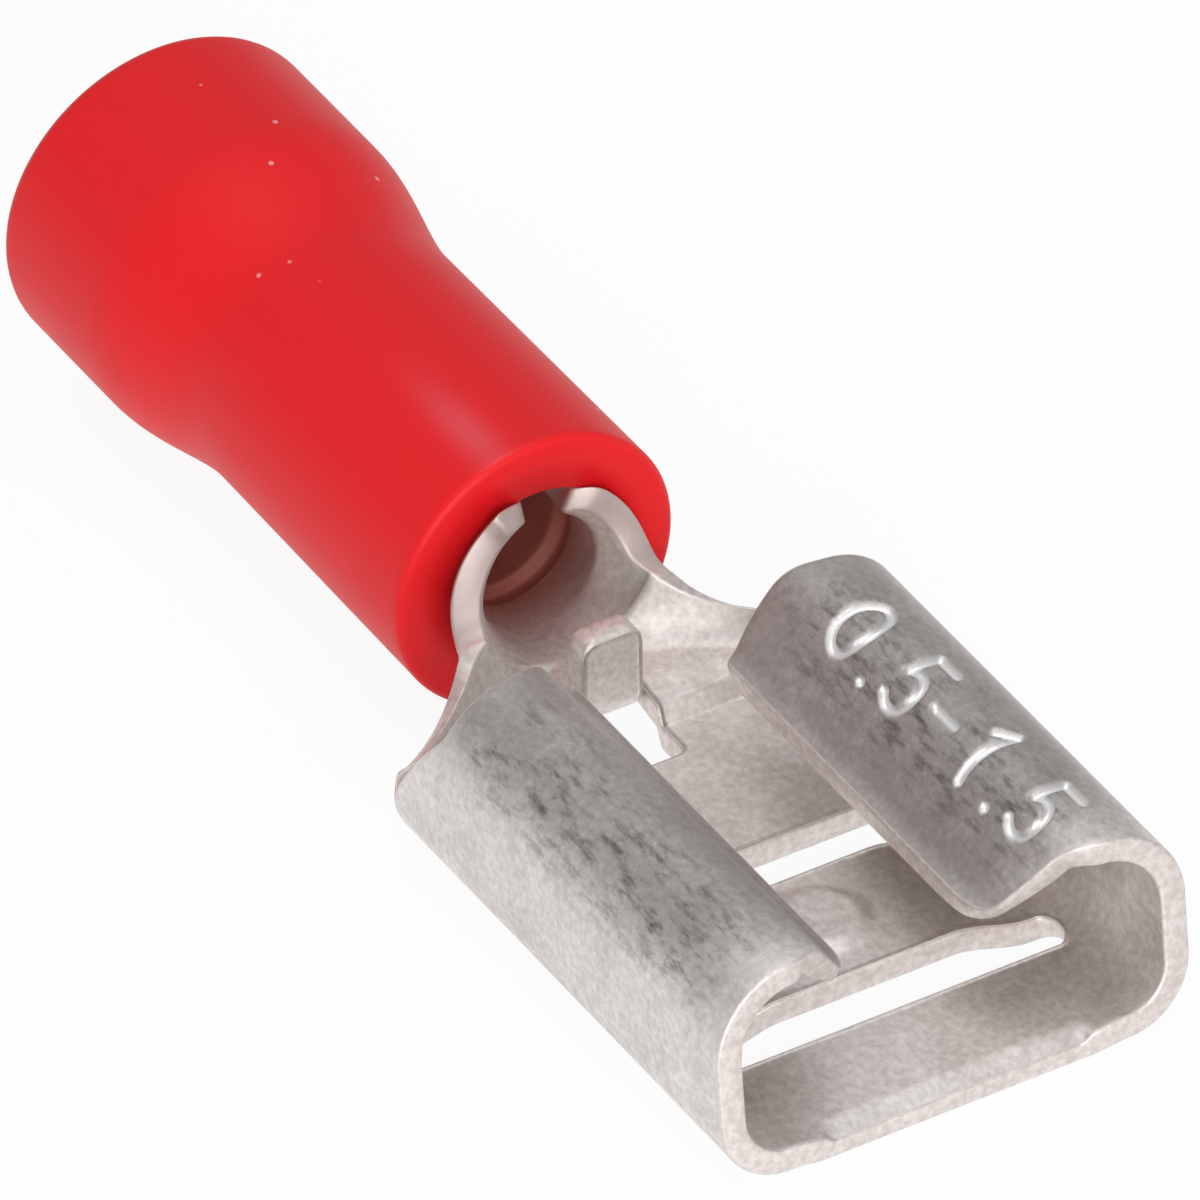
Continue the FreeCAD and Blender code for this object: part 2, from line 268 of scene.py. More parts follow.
def inside_loops(points: np.ndarray, loops: list[np.ndarray], margin: float) -> np.ndarray:
    """Tell which points lie on the blank and clear of its edges.

    A point lies on it where a ray along +station crosses the edges an odd number
    of times, and it is clear where its nearest edge point is past the margin.

    Args:
        points: Points (station, reach).
        loops: The blank's closed edges.
        margin: The least distance from an edge.

    Returns:
        True for each point that is kept.
    """
    # The edge is taken in stretches, because all points against all of it fill the memory.
    stretch, level = 64, 1e-9
    crossings = np.zeros(len(points), int)
    nearest = np.full(len(points), np.inf)
    for loop in loops:
        for part in np.array_split(np.arange(len(loop)), max(len(loop) // stretch, 1)):
            start, end = loop[part], np.roll(loop, -1, axis=0)[part]
            above = (start[:, 1] > points[:, 1:]) != (end[:, 1] > points[:, 1:])
            rise = np.where(end[:, 1] == start[:, 1], level, end[:, 1] - start[:, 1])
            meet = start[:, 0] + (points[:, 1:] - start[:, 1]) / rise * (end[:, 0] - start[:, 0])
            crossings += np.sum(above & (meet > points[:, :1]), axis=1)
            gap = np.hypot(points[:, :1] - start[:, 0], points[:, 1:] - start[:, 1]).min(axis=1)
            nearest = np.minimum(nearest, gap)
    return (crossings % 2 == 1) & (nearest > margin)


def fill_blank(loops: list[np.ndarray], spread: np.ndarray,
               bevel: float) -> tuple[np.ndarray, np.ndarray, list[Rim]]:
    """Fill the blank with triangles up to its bevelled edges.

    Args:
        loops: The blank's closed edges, the outline first.
        spread: Points inside it.
        bevel: How far the flat faces stay back from the edges.

    Returns:
        The points (station, reach), the triangles, and for each loop its points,
        their outward directions and the number of its first flat point.
    """
    insets, edges, rims = [], [], []
    total, merged = 0, 1e-7
    for number, loop in enumerate(loops):
        ahead = np.roll(loop, -1, axis=0) - np.roll(loop, 1, axis=0)
        ahead /= np.hypot(*ahead.T)[:, None]
        outward = np.stack([ahead[:, 1], -ahead[:, 0]], axis=1) * (1 if number == 0 else -1)
        rims.append((loop, outward, total))
        insets.append(loop - outward * bevel)
        ring = total + np.arange(len(loop))
        edges += np.stack([ring, np.roll(ring, -1)], axis=1).tolist()
        total += len(loop)
    points = np.vstack([*insets, spread])
    filled = delaunay_2d_cdt([Vector(point) for point in points], edges, [], 0, merged)
    LOG.info("blank: %d points given, %d used", len(points), len(filled[0]))
    triangles = np.array(filled[2])
    middle = points[triangles].mean(axis=1)
    return points, triangles[inside_loops(middle, insets, 0.0)], rims


def join_rows(rows: list[np.ndarray]) -> list[np.ndarray]:
    """Join closed rows of points, each to the next one, with two triangles to a step.

    Args:
        rows: The numbers of the points in each row, equally many in all.

    Returns:
        Arrays of triangles.
    """
    faces = []
    for one, two in zip(rows, rows[1:]):
        ahead_one, ahead_two = np.roll(one, -1), np.roll(two, -1)
        faces.append(np.stack([one, ahead_one, two], axis=1))
        faces.append(np.stack([ahead_one, ahead_two, two], axis=1))
    return faces


class Side(Enum):
    """A side of the middle line, with the sign of its reach."""

    RIGHT = 1
    LEFT = -1


@dataclass
class Stamping:
    """Plain characters pressed into the curl on the +Y side, reading towards the mouth, in millimetres."""

    text: str = "0.5-1.5"
    first_station: float = 6.5
    reach: float = 7.5
    height: float = 1.12
    digit_width: float = 0.74
    dash_width: float = 0.48
    dot_width: float = 0.12
    gap: float = 0.28
    stroke: float = 0.11
    depth: float = 0.085
    margin: float = 0.2
    ring_points: int = 33
    bowl_points: int = 25

    @property
    def stations(self) -> tuple[float, float]:
        """The stations between which the characters lie."""
        length = sum(self.width_of(letter) + self.gap for letter in self.text)
        return self.first_station - length, self.first_station + self.margin

    @property
    def reaches(self) -> tuple[float, float]:
        """The reaches between which the characters lie."""
        half = self.height / 2 + self.margin
        return self.reach - half, self.reach + half

    def width_of(self, letter: str) -> float:
        """Give the width of a character."""
        return {".": self.dot_width, "-": self.dash_width}.get(letter, self.digit_width)

    def strokes_of(self, letter: str) -> list[np.ndarray]:
        """Draw a character in a box of width 1 and height 1.

        Its round parts are ellipses (cos t, sin t) about their middles.

        Args:
            letter: A digit that the text uses, a full stop or a dash.

        Returns:
            The lines of its strokes, each as points (across, up).
        """
        if letter == "0":
            turns = np.linspace(0, TAU, self.ring_points)
            return [np.stack([0.5 + 0.4 * np.cos(turns), 0.5 + 0.46 * np.sin(turns)], axis=1)]
        if letter == "1":
            return [np.array([(0.22, 0.78), (0.55, 1.0), (0.55, 0.0)])]
        if letter == "5":
            turns = np.radians(np.linspace(130, -145, self.bowl_points))
            bowl = np.stack([0.48 + 0.38 * np.cos(turns), 0.32 + 0.3 * np.sin(turns)], axis=1)
            return [np.array([(0.85, 1.0), (0.24, 1.0), tuple(bowl[0])]), bowl]
        if letter == "-":
            return [np.array([(0.0, 0.45), (1.0, 0.45)])]
        return [np.array([(0.5, 0.0), (0.5, 0.02)])]

    def depth_at(self, station: np.ndarray, reach: np.ndarray) -> np.ndarray:
        """Find how deep the characters are pressed in.

        The distance to a stroke is the one to its nearest segment, and the depth
        falls off by a smooth step from a quarter of a stroke's width to the full width.

        Args:
            station: Distances behind the mouth.
            reach: Distances from the middle line, along the sheet.

        Returns:
            The depth of the stamping.
        """
        depth = np.zeros_like(station)
        rear, front = self.stations
        low, high = self.reaches
        near = np.flatnonzero((station > rear) & (station < front) & (reach > low) & (reach < high))
        across, up = self.first_station - station[near], self.reach + self.height / 2 - reach[near]
        nearest = np.full(len(near), np.inf)
        start = 0.0
        for letter in self.text:
            width = self.width_of(letter)
            for line in self.strokes_of(letter):
                places = line * (width, self.height) + (start, 0)
                first, along = places[:-1], np.diff(places, axis=0)
                offset = np.stack([across, up], axis=1)[:, None] - first
                share = np.clip(np.sum(offset * along, axis=2) / np.sum(along * along, axis=1), 0, 1)
                gaps = np.hypot(*np.moveaxis(offset - share[:, :, None] * along, 2, 0))
                nearest = np.minimum(nearest, gaps.min(axis=1))
            start += width + self.gap
        depth[near] = self.depth * (1 - smooth_step(nearest, self.stroke / 4, self.stroke))
        return depth


@dataclass
class Pressing:
    """The metal body: sizes of the folded blank in millimetres and degrees.

    Where a size is a pair, it gives the station or reach at which something
    starts and the one at which it is complete, unless its name says otherwise.
    """

    # The section, from the floor's middle up the wall and over the crown to the lip.
    sheet: float = 0.4
    floor_under: float = -1.2
    half_width: float = 3.698
    height: float = 3.26
    corner_radius: float = 1.03
    curl_radius: float = 1.3
    crown_radius: float = 0.75
    curl_slope: float = 55.0
    lip_radius: float = 0.35
    lip_slope: float = 8.0
    lip_top: float = 0.8
    # The mouth, with its coined lead-in, the cut of the carrier strip and the thinned lips.
    mouth_rake: float = 6.0
    mouth_droop: float = 0.08
    droop_length: float = 1.5
    droop_half: float = 1.9
    lip_setback: float = 1.1
    setback_power: float = 1.4
    lip_corner: float = 0.3
    lip_thinning: float = 0.17
    thinned_up_to: tuple[float, float] = (1.1, 2.3)
    coined_half: float = 2.05
    coined_side: float = 0.1
    coined_start: float = 0.06
    coined_length: float = 0.32
    coined_depth: float = 0.12
    carrier_notch: float = 0.035
    carrier_side: float = 0.05
    # The rear ends of the curls and of the walls.
    curl_end: float = 7.6
    curl_end_power: float = 1.2
    lip_end_left: float = 8.25
    lip_end_right: float = 7.72
    rear_bulge_right: float = 0.15
    wall_top_reach: float = 5.9
    wall_foot: tuple[float, float] = (8.5, 4.6)
    # The joggle that lifts the floor, and the neck behind it as far as the waist.
    joggle_start: float = 8.64
    joggle_end: float = 8.8
    joggle_rise: float = 0.4
    joggle_foot: float = 0.7
    ramp_length: float = 0.66
    ramp_reaches: tuple[float, float] = (1.2, 2.6)
    floor_power: float = 1.3
    trough_power: float = 1.5
    neck_start: float = 8.9
    neck_half: float = 3.75
    neck_power: float = 1.5
    waist_start: float = 10.2
    waist_half: float = 2.2
    waist_blend: float = 0.06
    throat_radius: float = 1.9
    # The flared front of the barrel, whose two tips are points (station, reach).
    shoulder_start: float = 10.42
    belly_station: float = 10.84
    belly_reach: float = 3.5
    tip_left: tuple[float, float] = (10.72, 4.0)
    tip_right: tuple[float, float] = (10.87, 3.6)
    tip_size: tuple[float, float] = (0.16, 0.05)
    tip_power: float = 1.2
    flare_opens: tuple[float, float] = (10.0, 10.3)
    flare_closes: tuple[float, float] = (10.85, 11.1)
    flare_lean_left: float = 0.45
    flare_lean_right: float = 0.0
    # The rolled barrel with its seam and its grip grooves.
    barrel_start: float = 11.0
    barrel_radius: float = 1.35
    barrel_end: float = 17.3
    seam_gap: float = 0.08
    seam_start: float = 12.3
    notch_stations: tuple[float, float] = (11.25, 11.8)
    groove_start: float = 11.7
    groove_pitch: float = 1.4
    groove_length: float = 0.4
    groove_wall: float = 0.08
    groove_depth: float = 0.1
    groove_count: int = 3
    # The slots, each from its front to its rear edge, with the bridge and the dimple.
    front_slot: tuple[float, float] = (1.83, 2.43)
    rear_slot: tuple[float, float] = (4.66, 5.76)
    slot_half: float = 3.0
    slot_end_radius: float = 0.28
    bridge_inset: float = 0.3
    bridge_rise: float = 0.3
    bridge_flat: float = 1.36
    bridge_foot: float = 2.67
    dimple_station: float = 3.63
    dimple_radius: float = 0.8
    dimple_skirt: float = 0.3
    dimple_rise: float = 0.1
    # The pierced hole and the tab stop that is bent up behind it.
    hole_start: float = 8.05
    hole_half: float = 0.56
    hole_corner: float = 0.1
    stop_hinge: float = 9.5
    stop_bend: float = 0.5
    stop_height: float = 1.6
    stop_half: float = 0.5
    stop_corner: float = 0.24
    stop_stretch: float = 1.4
    # The cut edges, and how far apart points lie: along an edge, with its blunting, and inside.
    bevel: float = 0.05
    outline_spacing: tuple[float, float] = (0.06, 0.1)
    slot_spacing: tuple[float, float] = (0.05, 0.02)
    hole_spacing: tuple[float, float] = (0.03, 0.02)
    edge_clearance: float = 0.09
    coarse_pitch: float = 0.1
    fine_pitch: float = 0.05
    stop_pitch: float = 0.04
    stamping_pitch: float = 0.035
    # Where points lie closer together.
    neck_zone: Zone = ((8.5, 11.3), (-4.4, 4.4))
    stop_zone: Zone = ((7.6, 10.2), (-0.7, 0.7))
    dimple_zone: Zone = ((2.4, 4.9), (-1.0, 1.0))
    lip_stations: tuple[float, float] = (0.0, 8.4)
    # Wear, dull plating and painted light: painted shade on the curls' tops and in spots inside, and a warm
    # tone in the barrel that is partly brass and partly a painted reflection of the red sleeve. A spot is its
    # middle (station, reach), its two spreads and its share.
    rub_right: float = 7.8
    rub_left: float = 6.5
    rub_and_sheen_width: tuple[float, float] = (0.2, 1.3)
    rub_opens: tuple[float, float] = (0.4, 1.6)
    rub_closes: tuple[float, float] = (6.6, 7.6)
    shaded_tops_from: tuple[float, float] = (0.3, 2.0)
    shaded_tops_reaches: tuple[float, float] = (5.6, 6.7)
    dull_and_shade_spots: tuple[tuple[float, ...], ...] = ((10.25, 1.75, 0.4, 0.6, 0.7), (3.5, 1.5, 1.2, 0.7, 0.8))
    bared_from: tuple[float, float] = (10.5, 12.2)
    aged_from: tuple[float, float] = (10.1, 10.6)
    aged_less_cut: float = 0.7
    aged_dull: float = 0.8
    aged_bare: float = 0.15
    stamping: Stamping = field(default_factory=Stamping)

    def __post_init__(self) -> None:
        """Work out the section's steps from the floor's middle to the lip."""
        slope, lip, quarter = math.radians(self.curl_slope), math.radians(self.lip_slope), math.pi / 2
        drop = (self.crown_radius * (1 - math.cos(slope))
                + self.lip_radius * (math.cos(lip) - math.cos(slope)))
        straight = (self.floor_under + self.height - self.lip_top - drop) / math.sin(slope)
        wall = self.height - self.curl_radius - self.corner_radius
        self.floor_half = self.half_width - self.corner_radius
        self.steps = [(self.floor_half, 0.0), (self.corner_radius * quarter, quarter), (wall, 0.0),
                      (self.curl_radius * quarter, quarter), (self.crown_radius * slope, slope),
                      (straight, 0.0), (self.lip_radius * (slope - lip), lip - slope)]
        marks = np.cumsum([length for length, _ in self.steps])
        self.crown_reach, self.slope_reach, self.lip_root, self.lip_reach = marks[3:]

    def outside(self, station: np.ndarray, reach: np.ndarray) -> tuple[np.ndarray, np.ndarray, np.ndarray]:
        """Fold the outside of the sheet.

        In front of the joggle the section is the strip of self.steps. Behind it the
        section is a flat of half width f and an arc of radius r on both sides. Up to
        the waist f falls by 1 - t^a and r grows by t^b with the share t and the powers
        for the floor and the trough, and past 90 degrees the sheet goes straight up.
        Behind the waist f is 0 and r falls evenly to the barrel's radius. Where the
        two laws of r meet it is their soft minimum, -k log(exp(-p / k) + exp(-q / k)).
        The joggle lifts the sheet by a short step and, in the middle, a longer ramp.

        Args:
            station: Distances behind the mouth.
            reach: Distances from the middle line, along the sheet.

        Returns:
            Y, Z and the heading of the sheet away from the middle line.
        """
        side, length = np.sign(reach), np.abs(reach)
        across, height, heading = walk_strip(length, self.steps)
        neck_length = self.waist_start - self.joggle_start
        past = np.maximum(station - self.joggle_start, 0) / neck_length
        left = np.maximum(self.barrel_start - station, 0) / (self.barrel_start - self.waist_start)
        flat = self.floor_half * (1 - np.clip(past, 0, 1) ** self.floor_power)
        growing = self.corner_radius + (self.throat_radius - self.corner_radius) * past ** self.trough_power
        falling = self.barrel_radius + (self.throat_radius - self.barrel_radius) * left
        radius = -self.waist_blend * np.log(np.exp(-growing / self.waist_blend)
                                            + np.exp(-falling / self.waist_blend))
        angle = np.maximum(length - flat, 0) / radius
        upright = np.where(station < self.waist_start, np.maximum(angle - math.pi / 2, 0), 0)
        angle = angle - upright
        behind = station > self.joggle_start
        across = np.where(behind, np.minimum(length, flat) + radius * np.sin(angle), across)
        height = np.where(behind, radius * (1 - np.cos(angle) + upright), height)
        heading = np.where(behind, angle, heading)
        ramp_end = self.joggle_end + self.ramp_length * (1 - smooth_step(length, *self.ramp_reaches))
        step = self.joggle_foot * smooth_step(station, self.joggle_start, self.joggle_end)
        ramp = (1 - self.joggle_foot) * smooth_step(station, self.joggle_start, ramp_end)
        height = self.floor_under + height + self.joggle_rise * (step + ramp)
        return side * across, height, side * heading

    def raised(self, station: np.ndarray, reach: np.ndarray) -> np.ndarray:
        """Add up how far the bridge and its dimple stand above the floor, and the mouth below it.

        Each is a smooth step: of the reach for the bow of the bridge, of the
        distance from its middle for the dimple, and of both for the mouth's droop.

        Args:
            station: Distances behind the mouth.
            reach: Distances from the middle line, along the sheet.

        Returns:
            The height added to the floor.
        """
        length = np.abs(reach)
        on_bridge = ((station > self.front_slot[0] + self.bridge_inset)
                     & (station < self.rear_slot[1] - self.bridge_inset))
        bow = self.bridge_rise * (1 - smooth_step(length, self.bridge_flat, self.bridge_foot))
        from_dimple = np.hypot(station - self.dimple_station, reach)
        flat_top = self.dimple_radius - self.dimple_skirt
        dimple = self.dimple_rise * (1 - smooth_step(from_dimple, flat_top, self.dimple_radius))
        droop = ((1 - smooth_step(station, 0.0, self.droop_length))
                 * (1 - smooth_step(length, self.droop_half, self.floor_half)))
        return np.where(on_bridge, bow + dimple, 0) - self.mouth_droop * droop

    def inset(self, station: np.ndarray, reach: np.ndarray) -> np.ndarray:
        """Find how far the inside of the sheet is pressed back.

        The coined lead-in is a wedge that ends at its length, the lips thin out
        towards their front tips, and each grip groove in the barrel is a smooth dip.

        Args:
            station: Distances behind the mouth.
            reach: Distances from the middle line, along the sheet.

        Returns:
            The thickness that is missing at the inside.
        """
        length = np.abs(reach)
        low, high = self.coined_half - self.coined_side, self.coined_half + self.coined_side
        coined = ((1 - smooth_step(station, self.coined_start, self.coined_length))
                  * (1 - smooth_step(length, low, high)))
        lips = (smooth_step(length, self.slope_reach, self.lip_reach)
                * (1 - smooth_step(station, *self.thinned_up_to)))
        groove = np.zeros_like(station)
        for start in self.groove_start + self.groove_pitch * np.arange(self.groove_count):
            end = start + self.groove_length
            groove = (groove + smooth_step(station, start, start + self.groove_wall)
                      - smooth_step(station, end - self.groove_wall, end))
        return self.coined_depth * coined + self.groove_depth * groove + self.lip_thinning * lips

    def fold(self, station: np.ndarray, reach: np.ndarray, depth: np.ndarray) -> np.ndarray:
        """Fold points of the blank into their places.

        A point lies on the outside's normal, which is the heading (cos h, sin h)
        turned to the left, (-sin h, cos h), at its depth, and it is then raised
        with the floor. In the flare the normal also leans forward, by sin h. The
        tongue of the tab stop is drawn longer and bent up by 90 degrees at its hinge.

        Args:
            station: Distances behind the mouth.
            reach: Distances from the middle line, along the sheet.
            depth: Distances below the outside of the sheet.

        Returns:
            An array of (count, 3) places.
        """
        y, z, heading = self.outside(station, reach)
        turn = np.abs(heading)
        flare = smooth_step(station, *self.flare_opens) * (1 - smooth_step(station, *self.flare_closes))
        lean = np.where(reach < 0, self.flare_lean_left, self.flare_lean_right)
        x = -station + lean * flare * np.sin(turn) * depth
        y = y - np.where(reach < 0, -1.0, 1.0) * np.sin(turn) * depth
        z = z + np.cos(turn) * depth + self.raised(station, reach)
        tongue = ((np.abs(reach) < (self.stop_half + self.hole_half) / 2) & (station < self.stop_hinge)
                  & (station > (self.hole_start + self.stop_tip) / 2))
        ahead = (self.stop_hinge - station) * self.stop_stretch
        bend = np.clip(ahead / self.stop_bend, 0, math.pi / 2)
        arm = self.stop_bend - depth
        foot = self.floor_under + self.joggle_rise + self.stop_bend
        x = np.where(tongue, arm * np.sin(bend) - self.stop_hinge, x)
        z = np.where(tongue, foot - arm * np.cos(bend) + ahead - bend * self.stop_bend, z)
        return np.stack([x, y, z], axis=1)

    def mouth_edge(self, count: int) -> np.ndarray:
        """Trace the raked mouth from the middle line to the tip of a lip.

        The station is the rake times the height, and past the crown a setback is
        added that grows as a power of the distance from the crown. The lip's
        corner is a quarter circle.

        Args:
            count: How many points to give.

        Returns:
            Points (station, reach).
        """
        reach = np.linspace(0, self.lip_reach, count)
        y, z, _ = self.outside(np.zeros(count), reach)
        past = np.maximum(np.where(reach > self.crown_reach, self.half_width - self.curl_radius - y, 0), 0)
        setback = self.lip_setback * (past / past.max()) ** self.setback_power
        corner = np.clip((reach - self.lip_reach) / self.lip_corner + 1, 0, 1)
        setback = setback + self.lip_corner * (1 - np.sqrt(1 - corner * corner))
        side = self.coined_half + self.carrier_side
        cut_off = self.carrier_notch * (1 - smooth_step(reach, self.coined_half, side))
        rake = math.tan(math.radians(self.mouth_rake)) * (z - self.floor_under)
        return np.stack([rake + setback + cut_off, reach], axis=1)

    def half_outline(self, side: Side) -> np.ndarray:
        """Trace one half of the blank's outline, from the mouth round to the barrel's end.

        The curl's rear edge and the tip's are powers of the share along them, the
        first with a bulge 4 t (1 - t), the neck narrows by a power of the share that
        is left, and the shoulder is a quarter of an ellipse.

        Args:
            side: Which half it is. The curls' rear edges differ.

        Returns:
            Points (station, reach).
        """
        right = side is Side.RIGHT
        lip_end, bulge = (self.lip_end_right, self.rear_bulge_right) if right else (self.lip_end_left, 0.0)
        share = np.linspace(0, 1, EDGE_POINTS)[:, None]
        rear = np.hstack([lip_end + (self.curl_end - lip_end) * share ** self.curl_end_power
                          + 4 * bulge * share * (1 - share),
                          self.lip_reach + (self.crown_reach - self.lip_reach) * share])
        wall = np.array([[self.curl_end, self.wall_top_reach], self.wall_foot])
        station = self.neck_start + (self.waist_start - self.neck_start) * share
        narrowing = (self.neck_half - self.waist_half) * (1 - share) ** self.neck_power
        neck = np.hstack([station, self.waist_half + narrowing])
        turn = share * math.pi / 2
        shoulder = np.hstack([self.shoulder_start + (self.belly_station - self.shoulder_start) * np.sin(turn),
                              self.waist_half + (self.belly_reach - self.waist_half) * (1 - np.cos(turn))])
        tip_station, tip_reach = self.tip_right if right else self.tip_left
        tip = np.hstack([self.belly_station + (tip_station - self.belly_station) * share ** self.tip_power,
                         self.belly_reach + (tip_reach - self.belly_reach) * share])
        seam = math.pi * self.barrel_radius - self.seam_gap / 2
        back, wide = self.tip_size
        barrel = np.array([[tip_station + back, tip_reach + wide], [self.notch_stations[0], tip_reach - wide],
                           [self.notch_stations[1], tip_reach], [self.seam_start, seam],
                           [self.barrel_end, seam], [self.barrel_end, 0]])
        half = np.vstack([self.mouth_edge(MOUTH_POINTS), rear, wall, neck, shoulder, tip, barrel])
        return half * (1, side.value)

    @property
    def stop_tip(self) -> float:
        """The station that the tab stop's tip has in the flat blank."""
        return self.stop_hinge - (self.stop_bend * (math.pi / 2 - 1) + self.stop_height) / self.stop_stretch

    def loops(self) -> list[np.ndarray]:
        """List the closed edges of the blank.

        Returns:
            Its outline, the two slots and the pierced hole with the tongue in it.
        """
        outline = np.vstack([self.half_outline(Side.RIGHT), self.half_outline(Side.LEFT)[::-1]])
        edges = [even_loop(outline, *self.outline_spacing)]
        for start, end in (self.front_slot, self.rear_slot):
            slot = rounded_slot(start, end, self.slot_half, self.slot_end_radius)
            edges.append(even_loop(slot, *self.slot_spacing))
        hole = rounded_end(self.hole_start, self.stop_hinge, self.hole_half, self.hole_corner)
        tongue = rounded_end(self.stop_tip, self.stop_hinge, self.stop_half, self.stop_corner)
        edges.append(even_loop(np.vstack([hole, tongue[::-1]]), *self.hole_spacing))
        return edges

    def inner_points(self, loops: list[np.ndarray]) -> np.ndarray:
        """Spread points over the blank, closer together where the form is finer.

        Args:
            loops: The blank's closed edges.

        Returns:
            Points (station, reach) that keep clear of the edges.
        """
        half, lips = self.lip_reach, self.lip_root - self.coarse_pitch
        zones = [(self.coarse_pitch, (0, self.barrel_end), (-half, half)),
                 (self.fine_pitch, *self.neck_zone),
                 (self.stop_pitch, *self.stop_zone),
                 (self.fine_pitch, *self.dimple_zone),
                 (self.fine_pitch, self.lip_stations, (lips, half)),
                 (self.fine_pitch, self.lip_stations, (-half, -lips)),
                 (self.stamping_pitch, self.stamping.stations, self.stamping.reaches)]
        spread = np.zeros((0, 2))
        for pitch, stations, reaches in zones:
            margin = pitch / 2
            kept = ((spread[:, 0] < stations[0] - margin) | (spread[:, 0] > stations[1] + margin)
                    | (spread[:, 1] < reaches[0] - margin) | (spread[:, 1] > reaches[1] + margin))
            grid = np.meshgrid(np.arange(*stations, pitch), np.arange(*reaches, pitch), indexing="ij")
            spread = np.vstack([spread[kept], np.stack([axis.ravel() for axis in grid], axis=1)])
        return spread[inside_loops(spread, loops, self.edge_clearance)]

    def rubbed_at(self, station: np.ndarray, reach: np.ndarray) -> np.ndarray:
        """Find where the rolling tool has worn the curls: along the crowns and their inner slopes.

        It falls by a smooth step of the distance from the band's middle, and by one
        of the station at either end of the band.

        Args:
            station: Distances behind the mouth.
            reach: Distances from the middle line, along the sheet.

        Returns:
            Shares from 0 to 1.
        """
        from_crown = np.abs(np.where(reach > 0, reach - self.rub_right, -reach - self.rub_left))
        along = smooth_step(station, *self.rub_opens) * (1 - smooth_step(station, *self.rub_closes))
        return along * (1 - smooth_step(from_crown, *self.rub_and_sheen_width))

    def dulled_at(self, station: np.ndarray, reach: np.ndarray) -> np.ndarray:
        """Find where painted shade darkens the curls' tops, which face the dim light above: a smooth step of
        the reach times one of the station.
        """
        return smooth_step(np.abs(reach), *self.shaded_tops_reaches) * smooth_step(station, *self.shaded_tops_from)

    def dulled_inside(self, station: np.ndarray, reach: np.ndarray) -> np.ndarray:
        """Find where the inside is darker, partly duller plating and partly painted shade: on the waist and
        on the bridge, both on the +Y side, the bridge's in the shadow of that lip.

        Each spot is a bell curve of the station times one of the reach.

        Args:
            station: Distances behind the mouth.
            reach: Distances from the middle line, along the sheet.

        Returns:
            Shares from 0 to 1.
        """
        spots = [amount * np.exp(-((station - middle) / length) ** 2 - ((reach - across) / width) ** 2)
                 for middle, across, length, width, amount in self.dull_and_shade_spots]
        return np.sum(spots, axis=0)

    def layer(self, station: np.ndarray, reach: np.ndarray, depth: np.ndarray,
              **looks: np.ndarray) -> dict[str, np.ndarray]:
        """Fold one layer of points and note how each looks.

        Args:
            station: Distances behind the mouth.
            reach: Distances from the middle line, along the sheet.
            depth: Distances below the outside of the sheet.
            looks: Shares from 0 to 1 by their names in LOOKS. One that isn't given is 0.

        Returns:
            The layer's "place" and each of its looks.
        """
        layer = {name: looks.get(name, np.zeros(len(station))) for name in LOOKS}
        layer["place"] = self.fold(station, reach, depth)
        return layer

    def rim_layers(self, base: np.ndarray, outward: np.ndarray) -> list[dict[str, np.ndarray]]:
        """Round a cut edge, from the outside of the sheet to its inside.

        Both corners are quarter circles of the bevel b: with the turn t a row stays
        back from the edge by b (1 - sin t) and lies b (1 - cos t) off its face.

        Args:
            base: The edge's points (station, reach).
            outward: The direction out of the sheet at each point.

        Returns:
            The layers in order.
        """
        turn = np.linspace(0, math.pi / 2, BEVEL_ROWS + 1)[1:]
        insets = self.bevel * (1 - np.sin(np.append(turn, turn[::-1])))
        off_face = self.bevel * (1 - np.cos(turn)) / self.sheet
        layers = []
        for back, share in zip(insets, np.append(off_face, 1 - off_face[::-1])):
            station, reach = (base - outward * back).T
            thickness = self.sheet - self.inset(station, reach)
            aged = smooth_step(station, *self.aged_from)
            layers.append(self.layer(station, reach, thickness * share,
                                     cut_edge=1 - self.aged_less_cut * aged,
                                     dulled=self.aged_dull * aged, bared=self.aged_bare * aged))
        return layers

    def build(self, material: bpy.types.Material) -> bpy.types.Object:
        """Stamp the blank, give it its thickness and rounded edges, and fold it.

        Args:
            material: The finish that it gets.

        Returns:
            The pressing as one closed mesh.
        """
        loops = self.loops()
        flats, triangles, rims = fill_blank(loops, self.inner_points(loops), self.bevel)
        station, reach = flats.T
        pressed = self.stamping.depth_at(station, reach)
        # The outside's darker tops are painted shade, and the inside's darker spots are partly painted shade.
        layers = [self.layer(station, reach, pressed, stamp=pressed / self.stamping.depth,
                             rubbed=self.rubbed_at(station, reach), dulled=self.dulled_at(station, reach)),
                  self.layer(station, reach, self.sheet - self.inset(station, reach),
                             dulled=self.dulled_inside(station, reach),
                             bared=smooth_step(station, *self.bared_from))]
        count = len(flats)
        faces = [triangles[:, ::-1], triangles + count]
        total = 2 * count
        for base, outward, first in rims:
            rounding = self.rim_layers(base, outward)
            size, end = len(base), total + len(base) * len(rounding)
            starts = [first, *range(total, end, size), first + count]
            faces += join_rows([start + np.arange(size) for start in starts])
            layers += rounding
            total = end
        places = np.vstack([layer["place"] for layer in layers])
        piece = mesh_object("tinned_terminal", places, np.vstack(faces), material)
        for name in LOOKS:
            add_attribute(piece, name, np.concatenate([layer[name] for layer in layers]))
        return piece


